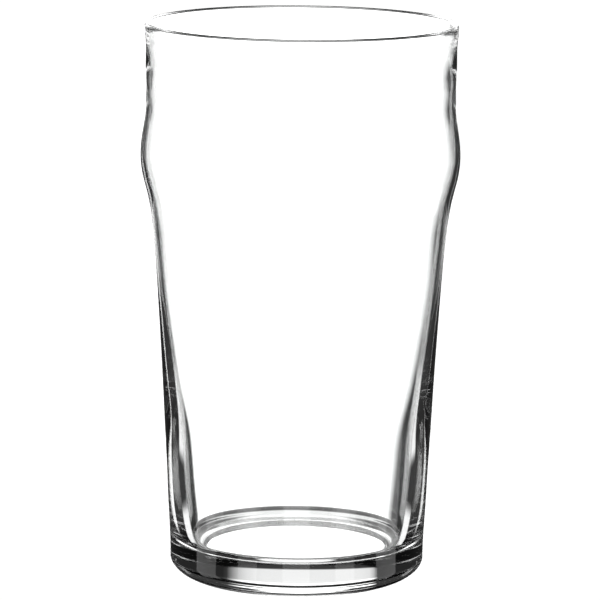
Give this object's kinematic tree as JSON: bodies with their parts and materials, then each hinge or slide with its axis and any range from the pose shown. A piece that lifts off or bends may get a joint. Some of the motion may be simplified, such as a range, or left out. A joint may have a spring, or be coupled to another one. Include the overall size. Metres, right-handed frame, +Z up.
{
  "type": "pint glass",
  "caption": "Clear drinking glass with a rounded bulge under the rim, a tapering body and a thick hollow foot.",
  "frame": {"origin": "centre of the foot, on the plane that the glass stands on", "axes": "+Z up along the axis of the glass, from the foot to the rim; X and Y are any two square directions, because the glass is round"},
  "size_m": [0.0856, 0.0856, 0.15],
  "materials": {
    "glass": "clear, fire-polished soda-lime glass"
  },
  "bodies": {
    "root": {"glass": "glass"}
  },
  "joints": []
}
